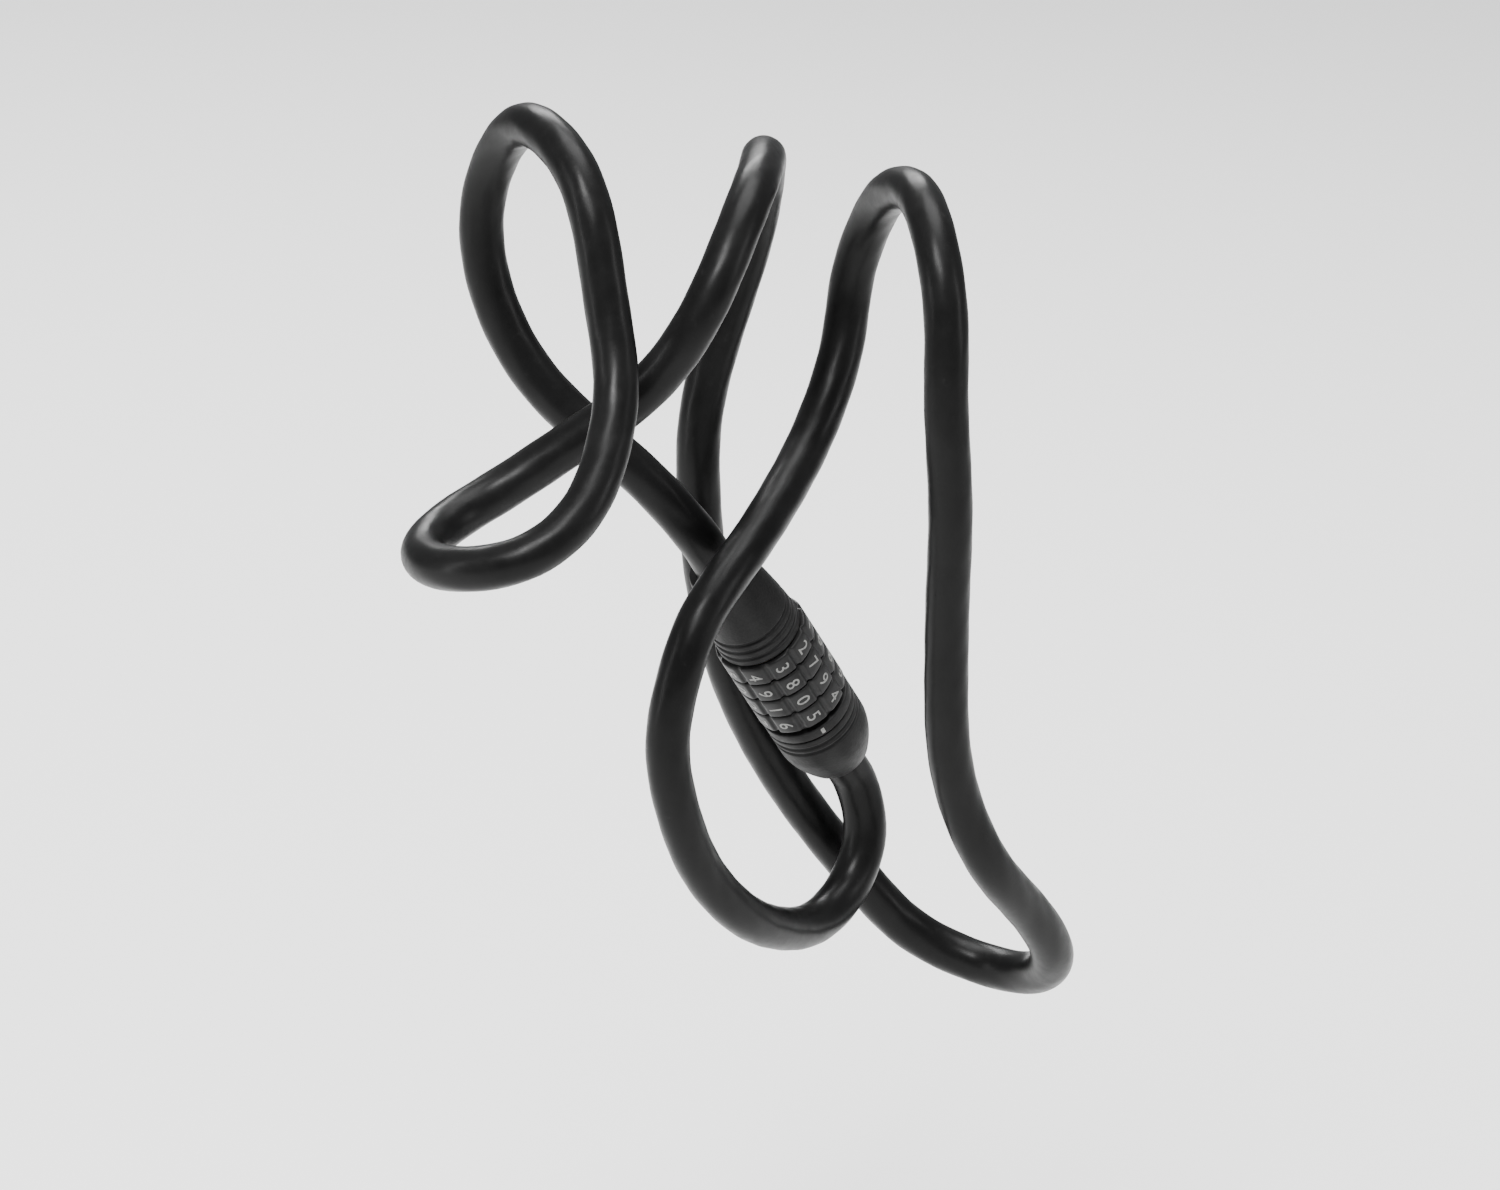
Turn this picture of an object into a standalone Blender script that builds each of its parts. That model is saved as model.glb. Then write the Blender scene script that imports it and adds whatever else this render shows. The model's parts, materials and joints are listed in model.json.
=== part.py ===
"""Four-dial combination cable lock, closed, hung round a bicycle's top tube.

The frame: the origin is on the axis of the top tube that the cable hangs on, +X runs
towards the bicycle's rear, +Y to its right-hand side and +Z up.

The lock head is turned round one axis. Its pieces are modelled along a local Z, which
starts at the face where the cable enters the head and runs to the face where it leaves
the plug, and the empty "head_axis" sets that axis in the frame.
"""

import math

import bpy
import bmesh
import numpy as np
from mathutils import Matrix, Vector

MM = 0.001
GAP = 0.3  # clearance between neighbouring pieces, mm
INSET = 0.2  # how far a nut or a rope's end stays inside the piece round it, mm
OVERSHOOT = 1.0  # how far a cutter runs past the piece that it cuts, mm

# Where the head hangs, mm and directions in the frame.
HEAD_ENTRY = Vector((6.0, 6.0, -54.0))
HEAD_DIRECTION = Vector((0.603, 0.231, -0.764))
INDEX_SIDE = Vector((-0.01, -0.955, -0.296))
HEAD_LENGTH = 56.0

# Cable: black PVC sleeve over steel wire rope, mm.
CABLE_DIAMETER = 8.0
CABLE_LEAD = 4.0
CABLE_STRAIGHT = 7.0
CABLE_STEP = 18.0
CABLE_TURN_WEIGHT = 10.0
ROPE_RADIUS = 1.35

# The route of the cable's centreline from the head's entry to the plug, mm: up behind
# the tube and over it, a small loop on the left, over again, down behind the head and
# round, up in front and over a third time, and through a lower loop to the plug.
ROUTE = [
    (-8, 5, -38), (-18, 10, -29), (-27, 16, -20), (-34, 21, -7), (-37, 23, 7),
    (-37, 20, 19), (-37, 10, 29), (-37, -2, 31), (-36, -13, 27), (-35, -20, 18),
    (-34, -24, 7), (-34, -30, -5), (-38, -37, -15),
    (-45, -43, -24), (-55, -44, -31), (-64, -37, -35), (-65, -23, -37), (-56, -13, -35),
    (-45, -11, -30), (-33, -14, -21), (-23, -19, -11), (-16, -23, 2), (-10, -21, 13),
    (-3, -14, 21), (3, -5, 23), (9, 6, 22), (14, 16, 15), (16, 22, 4), (14, 24, -9),
    (9, 23, -29), (9, 22, -45), (13, 24, -63), (20, 27, -81), (29, 29, -97),
    (40, 30, -112), (51, 29, -125), (62, 27, -136), (73, 20, -141), (78, 8, -139),
    (75, -4, -130), (65, -11, -118), (54, -17, -107), (46, -19, -94), (41, -21, -80),
    (39, -22, -66), (37, -24, -51), (35, -26, -34), (33, -25, -15), (33, -23, -3),
    (33, -19, 7), (34, -11, 14), (36, 0, 16), (37, 10, 13), (38, 19, 5), (37, 23, -7),
    (35, 21, -19), (28, 15, -32), (19, 7, -40), (9, -2, -46), (1, -8, -51),
    (-6, -12, -58), (-10, -14, -68), (-11, -14, -80), (-7, -13, -94), (0, -10, -106),
    (10, -6, -116), (22, 2, -123), (34, 11, -126), (43, 17, -122), (47, 20, -112),
]

# Stations along the head's axis, mm from the entry face. The cable's fixed end first.
ENTRY_MOUTH_END = 5.0
ENTRY_BOOT_END = 6.9
BARREL_START = ENTRY_BOOT_END + GAP
ENTRY_NUT_START = BARREL_START + GAP
ENTRY_NUT_END = 10.6
ENTRY_SHOULDER = ENTRY_NUT_END + GAP
ENTRY_FERRULE_END = 14.8
ENTRY_CUP_END = ENTRY_FERRULE_END + GAP
ENTRY_SCREW = 12.0
BARREL_FLANGE_START = 16.5
BARREL_BORE_START = 17.4
CAP_LENGTH = 19.0

# The dials and what holds them on the barrel.
DIAL_START = CAP_LENGTH + GAP
DIAL_PITCH = 4.8
DIAL_COUNT = 4
DIGITS = 10
DIAL_WIDTH = DIAL_PITCH - GAP
DIAL_END = DIAL_START + DIAL_PITCH * DIAL_COUNT - GAP
WASHER_START = DIAL_END + GAP
WASHER_END = WASHER_START + 0.6
COLLAR_START = WASHER_END + GAP
COLLAR_END = COLLAR_START + 2.2
CIRCLIP_START = COLLAR_START + 1.3
CIRCLIP_END = CIRCLIP_START + 0.7
BARREL_END = COLLAR_END + 0.8

# The plug, with the cable's other end.
SPIGOT_START = BARREL_BORE_START + 0.4
SPIGOT_CHAMFER = 0.8
PLUG_CAP_START = COLLAR_END + GAP
PLUG_FLANGE_START = BARREL_END + GAP
PLUG_FLANGE_END = PLUG_FLANGE_START + 1.5
PLUG_TAPER_START = 48.0
PLUG_CUP_START = PLUG_FLANGE_START + 0.8
PLUG_FERRULE_START = PLUG_CUP_START + GAP
PLUG_SHOULDER = PLUG_FERRULE_START + 4.1
PLUG_NUT_START = PLUG_SHOULDER + GAP
PLUG_SCREW = 49.2
PLUG_SHANK_END = PLUG_FLANGE_END + 6.8
PLUG_BOOT_START = PLUG_SHANK_END + GAP
PLUG_MOUTH_START = 52.9

# Radii of the outer pieces, mm.
CAP_TIP_RADIUS = 5.6
CAP_RADIUS = 8.1
CAP_ROUNDNESS = 1.5
DIAL_RADIUS = 8.8
DIAL_GROOVE_DEPTH = 0.5
COLLAR_RADIUS = 8.6
PLUG_CAP_RADIUS = 8.6
PLUG_TAIL_RADIUS = 5.8
PLUG_ROUNDNESS = 1.7
SEAL_GROOVE_INNER = 6.9
SEAL_GROOVE_OUTER = 8.0
SEAL_GROOVE_DEPTH = 0.9

# Radii of the inner pieces, mm.
BARREL_RADIUS = 4.5
BARREL_BORE = 3.0
BARREL_FLANGE_RADIUS = 6.5
CIRCLIP_GROOVE_DEPTH = 0.6
CIRCLIP_RADIUS = 5.9
BACK_BORE = 3.3
RUNNING_BORE = BARREL_RADIUS + GAP
SPIGOT_RADIUS = BARREL_BORE - GAP
PLUG_FLANGE_RADIUS = 6.0
COUNTERBORE_RADIUS = 6.4
WASHER_RADIUS = 7.6
BOOT_RADIUS = 3.4
BOOT_FLANGE_RADIUS = 4.4
FERRULE_RADIUS = BACK_BORE - GAP
FERRULE_TAIL_RADIUS = 2.1
NUT_BORE = FERRULE_TAIL_RADIUS + GAP
SCREW_RADIUS = 0.9
SCREW_INNER = 4.2
ENTRY_SCREW_OUTER = 7.3
PLUG_SCREW_OUTER = 8.1
DIMPLE_BOTTOM = 3.9

# Code gates and teeth, mm.
GATE_RING_RADIUS = 6.8
SPLINE_HEIGHT = 0.55
RECESS_RADIUS = 5.95
RECESS_LENGTH = 3.0
DETENT_POCKET_RADIUS = 5.4
TOOTH_REACH = 5.55
TOOTH_HALF_WIDTH = 0.9
TOOTH_OFFSET = 0.6
TOOTH_LENGTH = 1.8
GATE_HALF_WIDTH = TOOTH_HALF_WIDTH + 0.4
SLOT_HALF_WIDTH = TOOTH_HALF_WIDTH + GAP

# Half angles of what repeats for each digit, at its top and its foot, degrees.
SPLINE_ANGLES = (3.0, 5.5)
SPLINE_SLOT_ANGLES = (5.0, 8.0)
DETENT_POCKET_ANGLES = (12.0, 14.0)

# The leaf spring that clicks the dials into place, mm.
SPRING_START = DIAL_START + 0.6
SPRING_GROOVE_BOTTOM = 3.45
SPRING_OUTER = 4.05
SPRING_THICKNESS = 0.3
SPRING_HALF_WIDTH = 0.9
SPRING_BUMP_HEIGHT = 1.0
SPRING_BUMP_REACH = 1.0
SPRING_BUMP_OFFSET = 3.75
SPRING_POINTS = 45

# Fineness of the round pieces.
STEPS = 28
FINE_STEPS = 20
ROPE_SIDES = 16
SCREW_SIDES = 14


def clear_scene():
    for old in list(bpy.data.objects):
        bpy.data.objects.remove(old, do_unlink=True)


def collection(name):
    made = bpy.data.collections.new(name)
    bpy.context.scene.collection.children.link(made)
    return made


def head_axis():
    """The empty that carries the head: local Z along its axis, local X to the index side."""
    z_axis = HEAD_DIRECTION.normalized()
    x_axis = (INDEX_SIDE - z_axis * INDEX_SIDE.dot(z_axis)).normalized()
    y_axis = z_axis.cross(x_axis)
    head = bpy.data.objects.new("head_axis", None)
    bpy.context.scene.collection.objects.link(head)
    head.rotation_euler = Matrix((x_axis, y_axis, z_axis)).transposed().to_euler()
    head.location = HEAD_ENTRY * MM
    return head


def material(name, colour, roughness, metallic):
    made = bpy.data.materials.new(name)
    made.use_nodes = True
    shader = made.node_tree.nodes["Principled BSDF"]
    shader.inputs["Base Color"].default_value = (*colour, 1.0)
    shader.inputs["Roughness"].default_value = roughness
    shader.inputs["Metallic"].default_value = metallic
    return made


def place(obj, into, parent, station=0.0):
    into.objects.link(obj)
    obj.parent = parent
    obj.location = (0.0, 0.0, station * MM)
    return obj


def add_material(obj, paint):
    obj.data.materials.append(paint)
    return obj


def turned(name, profile, closed=True, steps=STEPS):
    """A turned piece. Its profile is a list of (radius, station), in either direction.
    A closed profile has a bore; an open one starts and ends on the axis."""
    ahead = profile[1:] + profile[:1]
    area = sum(a[0] * b[1] - b[0] * a[1] for a, b in zip(profile, ahead))
    if area > 0:
        profile = profile[::-1]
    count = len(profile)
    points = [(radius * MM, 0.0, station * MM) for radius, station in profile]
    edges = [(i, i + 1) for i in range(count - 1)]
    if closed:
        edges.append((count - 1, 0))
    mesh = bpy.data.meshes.new(name)
    mesh.from_pydata(points, edges, [])
    obj = bpy.data.objects.new(name, mesh)
    screw = obj.modifiers.new("turn", "SCREW")
    screw.axis = "Z"
    screw.steps = steps
    screw.render_steps = steps
    screw.use_merge_vertices = True
    screw.merge_threshold = 0.000001
    screw.use_smooth_shade = True
    return obj


def tube(name, outer, inner, low, high, steps=STEPS):
    return turned(name, [(outer, high), (outer, low), (inner, low), (inner, high)], steps=steps)


def extruded(name, outlines, low, high):
    """A flat outline in XY with its holes, extruded along Z from low to high."""
    curve = bpy.data.curves.new(name, "CURVE")
    curve.dimensions = "2D"
    curve.fill_mode = "BOTH"
    curve.extrude = (high - low) / 2 * MM
    for outline in outlines:
        spline = curve.splines.new("POLY")
        spline.points.add(len(outline) - 1)
        for point, (x, y) in zip(spline.points, outline):
            point.co = (x * MM, y * MM, 0.0, 1.0)
        spline.use_cyclic_u = True
    guide = bpy.data.objects.new(name + "_outline", curve)
    bpy.context.scene.collection.objects.link(guide)
    graph = bpy.context.evaluated_depsgraph_get()
    mesh = bpy.data.meshes.new_from_object(guide.evaluated_get(graph))
    mesh.name = name
    bpy.data.objects.remove(guide, do_unlink=True)
    body = bmesh.new()
    body.from_mesh(mesh)
    bmesh.ops.remove_doubles(body, verts=body.verts, dist=0.000001)
    bmesh.ops.translate(body, verts=body.verts, vec=(0.0, 0.0, (low + high) / 2 * MM))
    bmesh.ops.recalc_face_normals(body, faces=body.faces)
    body.to_mesh(mesh)
    body.free()
    return bpy.data.objects.new(name, mesh)


def box(name, low, high):
    """A box between two corners, in head coordinates."""
    mesh = bpy.data.meshes.new(name)
    body = bmesh.new()
    bmesh.ops.create_cube(body, size=1.0)
    size = [(b - a) * MM for a, b in zip(low, high)]
    middle = [(a + b) / 2 * MM for a, b in zip(low, high)]
    bmesh.ops.scale(body, verts=body.verts, vec=size)
    bmesh.ops.translate(body, verts=body.verts, vec=middle)
    body.to_mesh(mesh)
    body.free()
    return bpy.data.objects.new(name, mesh)


def rod(name, radius, low, high, sides):
    """A cylinder along the head's axis."""
    mesh = bpy.data.meshes.new(name)
    body = bmesh.new()
    bmesh.ops.create_cone(
        body, cap_ends=True, segments=sides,
        radius1=radius * MM, radius2=radius * MM, depth=(high - low) * MM,
    )
    bmesh.ops.translate(body, verts=body.verts, vec=(0.0, 0.0, (low + high) / 2 * MM))
    body.to_mesh(mesh)
    body.free()
    return bpy.data.objects.new(name, mesh)


def back_rod(name, radius, station, inner, outer):
    """A cylinder along local -X, from one distance off the axis to another."""
    made = rod(name, radius, inner, outer, SCREW_SIDES)
    made.data.transform(Matrix.Rotation(math.radians(-90.0), 4, "Y"))
    made.data.transform(Matrix.Translation((0.0, 0.0, station * MM)))
    return made


def combine(obj, tool, how, cutters, parent):
    """Cut a tool from a piece, or join it on. The tool stays as a hidden guide."""
    place(tool, cutters, parent, obj.location.z / MM)
    tool.hide_render = True
    tool.display_type = "WIRE"
    step = obj.modifiers.new(tool.name, "BOOLEAN")
    step.operation = how
    step.solver = "EXACT"
    step.object = tool


def cut(obj, tool, cutters, parent):
    combine(obj, tool, "DIFFERENCE", cutters, parent)


def ring_points(radii_by_angle):
    return [
        (radius * math.cos(math.radians(angle)), radius * math.sin(math.radians(angle)))
        for angle, radius in radii_by_angle
    ]


def toothed_circle(base, raised, half_top, half_foot):
    """A circle with one raised tooth for each digit, its half angles in degrees."""
    points = []
    for digit in range(DIGITS):
        middle = digit * 360.0 / DIGITS
        points.append((middle - half_foot, base))
        points.append((middle - half_top, raised))
        points.append((middle + half_top, raised))
        points.append((middle + half_foot, base))
    return ring_points(points)


def smooth_curve(points, samples=24):
    """Points along the natural cubic spline through the given points."""
    knots = np.array(points, dtype=float)
    count = len(knots)
    chords = np.linalg.norm(np.diff(knots, axis=0), axis=1)
    spans = np.sqrt(chords)
    system = np.zeros((count, count))
    right = np.zeros((count, 3))
    system[0, 0] = 1.0
    system[-1, -1] = 1.0
    for i in range(1, count - 1):
        system[i, i - 1] = spans[i - 1]
        system[i, i] = 2.0 * (spans[i - 1] + spans[i])
        system[i, i + 1] = spans[i]
        rise = (knots[i + 1] - knots[i]) / spans[i]
        fall = (knots[i] - knots[i - 1]) / spans[i - 1]
        right[i] = 6.0 * (rise - fall)
    bends = np.linalg.solve(system, right)
    curve = []
    for i in range(count - 1):
        span = spans[i]
        for step in range(samples):
            after = step / samples * span
            before = span - after
            point = (bends[i] * before ** 3 + bends[i + 1] * after ** 3) / (6.0 * span)
            point += (knots[i] / span - bends[i] * span / 6.0) * before
            point += (knots[i + 1] / span - bends[i + 1] * span / 6.0) * after
            curve.append(point)
    curve.append(knots[-1])
    return np.array(curve)


def spaced(curve):
    """The curve's points between its two leads, closer together where it bends."""
    steps = np.diff(curve, axis=0)
    lengths = np.linalg.norm(steps, axis=1)
    ways = steps / lengths[:, None]
    turns = np.arccos(np.clip((ways[1:] * ways[:-1]).sum(axis=1), -1.0, 1.0))
    turns = np.append(turns, 0.0)
    travelled = np.append(0.0, np.cumsum(lengths))
    measured = np.append(0.0, np.cumsum(lengths + turns * CABLE_TURN_WEIGHT))
    ends = np.interp([CABLE_LEAD, travelled[-1] - CABLE_LEAD], travelled, measured)
    count = round((ends[1] - ends[0]) / CABLE_STEP)
    marks = np.concatenate([[0.0], np.linspace(ends[0], ends[1], count + 1), [measured[-1]]])
    return np.stack([np.interp(marks, measured, curve[:, i]) for i in range(3)], axis=1)


def cable_route():
    """The centreline in mm, from the entry face to the plug's end face."""
    axis = HEAD_DIRECTION.normalized()
    leads = (GAP, CABLE_LEAD, CABLE_STRAIGHT)
    leave = HEAD_ENTRY + axis * HEAD_LENGTH
    knots = [HEAD_ENTRY - axis * lead for lead in leads]
    knots += [Vector(point) for point in ROUTE]
    knots += [leave + axis * lead for lead in reversed(leads)]
    return smooth_curve([tuple(knot) for knot in knots])


def cable(parts, paint):
    route = spaced(cable_route())
    curve = bpy.data.curves.new("cable", "CURVE")
    curve.dimensions = "3D"
    curve.bevel_depth = CABLE_DIAMETER / 2 * MM
    curve.bevel_resolution = 2
    curve.use_fill_caps = True
    spline = curve.splines.new("POLY")
    spline.points.add(len(route) - 1)
    for point, (x, y, z) in zip(spline.points, route):
        point.co = (x * MM, y * MM, z * MM, 1.0)
    obj = bpy.data.objects.new("cable", curve)
    parts.objects.link(obj)
    add_material(obj, paint)


def boot(name, face, neck, end):
    """The soft bush in a cap's mouth, held by a flange."""
    bore = ROPE_RADIUS + GAP
    return turned(name, [
        (bore, face), (BOOT_RADIUS, face), (BOOT_RADIUS, neck),
        (BOOT_FLANGE_RADIUS, neck), (BOOT_FLANGE_RADIUS, end), (bore, end),
    ])


def ferrule(name, tail, shoulder, end):
    """The sleeve crimped on the stripped rope, with a shoulder that takes the pull."""
    bore = ROPE_RADIUS + GAP
    return turned(name, [
        (bore, tail), (FERRULE_TAIL_RADIUS, tail), (FERRULE_TAIL_RADIUS, shoulder),
        (FERRULE_RADIUS, shoulder), (FERRULE_RADIUS, end), (bore, end),
    ], steps=FINE_STEPS)


def ring_nut(name, low, high):
    """The ring screwed in behind a ferrule's shoulder."""
    return tube(name, FERRULE_RADIUS, NUT_BORE, low, high, FINE_STEPS)


def rope_end(name, low, high):
    return rod(name, ROPE_RADIUS, low, high, ROPE_SIDES)


def cap_screw(name, station, outer):
    """The small screw at a cap's back, its end below the surface."""
    return back_rod(name, SCREW_RADIUS, station, SCREW_INNER, outer)


def screw_hole(name, station):
    return back_rod(name, SCREW_RADIUS + GAP, station, SCREW_INNER - GAP, DIAL_RADIUS + OVERSHOOT)


def screw_dimple(name, station):
    outer = BARREL_RADIUS + OVERSHOOT
    return back_rod(name, SCREW_RADIUS + GAP, station, DIMPLE_BOTTOM, outer)


def entry_cap(cutters, head):
    """The tapered cap over the cable's fixed end."""
    points = 9
    mouth = BOOT_RADIUS + GAP
    counterbore = BARREL_FLANGE_RADIUS + GAP
    profile = []
    for step in range(points):
        share = step / (points - 1)
        rise = 1.0 - (1.0 - share) ** CAP_ROUNDNESS
        radius = CAP_TIP_RADIUS + (CAP_RADIUS - CAP_TIP_RADIUS) * rise
        profile.append((radius, share * CAP_LENGTH))
    profile += [(counterbore, CAP_LENGTH), (counterbore, BARREL_FLANGE_START - GAP)]
    profile += [(RUNNING_BORE, BARREL_FLANGE_START - GAP), (RUNNING_BORE, ENTRY_MOUTH_END)]
    profile += [(mouth, ENTRY_MOUTH_END), (mouth, 0.0)]
    made = turned("entry_cap", profile)
    cut(made, screw_hole("entry_cap_screw_hole", ENTRY_SCREW), cutters, head)
    return made


def barrel(cutters, head):
    """The steel core: a cup for the ferrule, a flange for the dials and a slotted tube."""
    groove = BARREL_RADIUS - CIRCLIP_GROOVE_DEPTH
    made = turned("barrel", [
        (0.0, BARREL_END), (BARREL_RADIUS, BARREL_END), (BARREL_RADIUS, CIRCLIP_END + GAP),
        (groove, CIRCLIP_END + GAP), (groove, CIRCLIP_START - GAP),
        (BARREL_RADIUS, CIRCLIP_START - GAP), (BARREL_RADIUS, CAP_LENGTH),
        (BARREL_FLANGE_RADIUS, CAP_LENGTH), (BARREL_FLANGE_RADIUS, BARREL_FLANGE_START),
        (BARREL_RADIUS, BARREL_FLANGE_START), (BARREL_RADIUS, BARREL_START),
        (BACK_BORE, BARREL_START), (BACK_BORE, ENTRY_CUP_END), (0.0, ENTRY_CUP_END),
    ], closed=False)
    beyond = BARREL_END + OVERSHOOT
    side = BARREL_RADIUS + OVERSHOOT
    bore = rod("barrel_bore", BARREL_BORE, BARREL_BORE_START, beyond, STEPS)
    cut(made, bore, cutters, head)
    slot_low = (0.0, -SLOT_HALF_WIDTH, DIAL_START)
    slot_high = (side, SLOT_HALF_WIDTH, beyond)
    cut(made, box("barrel_slot", slot_low, slot_high), cutters, head)
    groove_low = (-side, -SLOT_HALF_WIDTH, SPRING_START - GAP)
    groove_high = (-SPRING_GROOVE_BOTTOM, SLOT_HALF_WIDTH, DIAL_END)
    cut(made, box("barrel_spring_groove", groove_low, groove_high), cutters, head)
    cut(made, screw_dimple("barrel_screw_dimple", ENTRY_SCREW), cutters, head)
    return made


def spring_height(station):
    """How far the spring's outer face stands off the barrel's axis at a station."""
    first = DIAL_START + SPRING_BUMP_OFFSET
    off = min(abs(station - first - DIAL_PITCH * index) for index in range(DIAL_COUNT))
    if off >= SPRING_BUMP_REACH:
        return SPRING_OUTER
    slope = math.cos(off / SPRING_BUMP_REACH * math.pi / 2)
    return SPRING_OUTER + SPRING_BUMP_HEIGHT * slope ** 2


def detent_spring():
    """The leaf in the barrel's groove, with a bump under each gate ring."""
    stations = np.linspace(SPRING_START, DIAL_END - GAP, SPRING_POINTS)
    ridge = [(station, spring_height(station)) for station in stations]
    outline = ridge + [(station, height - SPRING_THICKNESS) for station, height in ridge[::-1]]
    made = extruded("detent_spring", [outline], -SPRING_HALF_WIDTH, SPRING_HALF_WIDTH)
    # The outline's X becomes the station and its Y the distance from the axis, towards -X.
    turn = Matrix(((0, -1, 0, 0), (0, 0, -1, 0), (1, 0, 0, 0), (0, 0, 0, 1)))
    made.data.transform(turn)
    return made


def dial(index):
    """One digit wheel: a flat for each digit, grooves between, splined to its gate ring."""
    pitch = 360.0 / DIGITS
    flat = pitch / 3
    rim = []
    for digit in range(DIGITS):
        middle = digit * pitch
        rim += [(middle + turn, DIAL_RADIUS) for turn in (-flat, 0.0, flat)]
        rim.append((middle + pitch / 2, DIAL_RADIUS - DIAL_GROOVE_DEPTH))
    clear = GATE_RING_RADIUS + GAP
    bore = toothed_circle(clear, clear + SPLINE_HEIGHT, *SPLINE_SLOT_ANGLES)
    return extruded("dial_%d" % (index + 1), [ring_points(rim), bore], 0.0, DIAL_WIDTH)


def gate_ring(index, cutters, head):
    """The metal ring in a dial: a lip with one gate, and a recess where a tooth rests."""
    name = "gate_ring_%d" % (index + 1)
    spline = GATE_RING_RADIUS + SPLINE_HEIGHT
    rim = toothed_circle(GATE_RING_RADIUS, spline, *SPLINE_ANGLES)
    bore = toothed_circle(RUNNING_BORE, DETENT_POCKET_RADIUS, *DETENT_POCKET_ANGLES)
    made = extruded(name, [rim, bore], 0.0, DIAL_WIDTH)
    made.location.z = station_of_dial(index) * MM
    recess = rod(name + "_recess", RECESS_RADIUS, -OVERSHOOT, RECESS_LENGTH, STEPS)
    cut(made, recess, cutters, head)
    gate_low = (BARREL_RADIUS - OVERSHOOT, -GATE_HALF_WIDTH, RECESS_LENGTH - OVERSHOOT)
    gate_high = (RECESS_RADIUS, GATE_HALF_WIDTH, DIAL_PITCH + OVERSHOOT)
    cut(made, box(name + "_gate", gate_low, gate_high), cutters, head)
    return made


def station_of_dial(index):
    return DIAL_START + DIAL_PITCH * index


def notch(obj, low, high, cutters, head):
    """Open a ring's bore above the barrel's slot, so that the plug's teeth pass."""
    corner_low = (BARREL_RADIUS - OVERSHOOT, -GATE_HALF_WIDTH, low - OVERSHOOT)
    corner_high = (RECESS_RADIUS, GATE_HALF_WIDTH, high + OVERSHOOT)
    cut(obj, box(obj.name + "_notch", corner_low, corner_high), cutters, head)


def thrust_washer(cutters, head):
    """The flat ring between the last dial and the front collar."""
    made = tube("thrust_washer", WASHER_RADIUS, RUNNING_BORE, WASHER_START, WASHER_END)
    notch(made, WASHER_START, WASHER_END, cutters, head)
    return made


def front_collar(cutters, head):
    """The end ring that holds the dials on the barrel, sunk for the circlip."""
    step = CIRCLIP_START - GAP
    made = turned("front_collar", [
        (COLLAR_RADIUS, COLLAR_END), (COLLAR_RADIUS, COLLAR_START),
        (RUNNING_BORE, COLLAR_START), (RUNNING_BORE, step),
        (COUNTERBORE_RADIUS, step), (COUNTERBORE_RADIUS, COLLAR_END),
    ])
    notch(made, COLLAR_START, COLLAR_END, cutters, head)
    return made


def circlip():
    """The open spring ring in the barrel's groove, its gap over the slot."""
    inner = BARREL_RADIUS - GAP
    points = 29
    opening = 20.0
    angles = [opening + (360.0 - 2 * opening) * i / (points - 1) for i in range(points)]
    outline = ring_points([(angle, CIRCLIP_RADIUS) for angle in angles])
    outline += ring_points([(angle, inner) for angle in reversed(angles)])
    return extruded("circlip", [outline], CIRCLIP_START, CIRCLIP_END)


def plug_body(cutters, head):
    """The steel plug: a spigot with four teeth, a flange and a cup for the ferrule."""
    tip = SPIGOT_START + SPIGOT_CHAMFER
    made = turned("plug_body", [
        (0.0, PLUG_CUP_START), (BACK_BORE, PLUG_CUP_START), (BACK_BORE, PLUG_SHANK_END),
        (BARREL_RADIUS, PLUG_SHANK_END), (BARREL_RADIUS, PLUG_FLANGE_END),
        (PLUG_FLANGE_RADIUS, PLUG_FLANGE_END), (PLUG_FLANGE_RADIUS, PLUG_FLANGE_START),
        (SPIGOT_RADIUS, PLUG_FLANGE_START), (SPIGOT_RADIUS, tip),
        (SPIGOT_RADIUS - SPIGOT_CHAMFER, SPIGOT_START), (0.0, SPIGOT_START),
    ], closed=False)
    for index in range(DIAL_COUNT):
        station = station_of_dial(index) + TOOTH_OFFSET
        low = (SPIGOT_RADIUS / 2, -TOOTH_HALF_WIDTH, station)
        high = (TOOTH_REACH, TOOTH_HALF_WIDTH, station + TOOTH_LENGTH)
        combine(made, box("plug_tooth_%d" % (index + 1), low, high), "UNION", cutters, head)
    cut(made, screw_dimple("plug_screw_dimple", PLUG_SCREW), cutters, head)
    return made


def plug_cap(cutters, head):
    """The tapered cap over the plug, with a groove for the seal in its front face."""
    points = 7
    mouth = BOOT_RADIUS + GAP
    step_station = PLUG_FLANGE_END + GAP
    floor = PLUG_CAP_START + SEAL_GROOVE_DEPTH
    profile = [(mouth, HEAD_LENGTH), (mouth, PLUG_MOUTH_START)]
    profile += [(RUNNING_BORE, PLUG_MOUTH_START), (RUNNING_BORE, step_station)]
    profile += [(COUNTERBORE_RADIUS, step_station), (COUNTERBORE_RADIUS, PLUG_CAP_START)]
    profile += [(SEAL_GROOVE_INNER, PLUG_CAP_START), (SEAL_GROOVE_INNER, floor)]
    profile += [(SEAL_GROOVE_OUTER, floor), (SEAL_GROOVE_OUTER, PLUG_CAP_START)]
    profile.append((PLUG_CAP_RADIUS, PLUG_CAP_START))
    for step in range(points):
        share = step / (points - 1)
        fall = (PLUG_CAP_RADIUS - PLUG_TAIL_RADIUS) * share ** PLUG_ROUNDNESS
        station = PLUG_TAPER_START + (HEAD_LENGTH - PLUG_TAPER_START) * share
        profile.append((PLUG_CAP_RADIUS - fall, station))
    made = turned("plug_cap", profile)
    cut(made, screw_hole("plug_cap_screw_hole", PLUG_SCREW), cutters, head)
    return made


def seal_ring():
    """The rubber ring in the plug cap's face, against rain."""
    outer = SEAL_GROOVE_OUTER - GAP
    inner = SEAL_GROOVE_INNER + GAP
    return tube("seal_ring", outer, inner, PLUG_CAP_START, PLUG_CAP_START + 2 * GAP)


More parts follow.
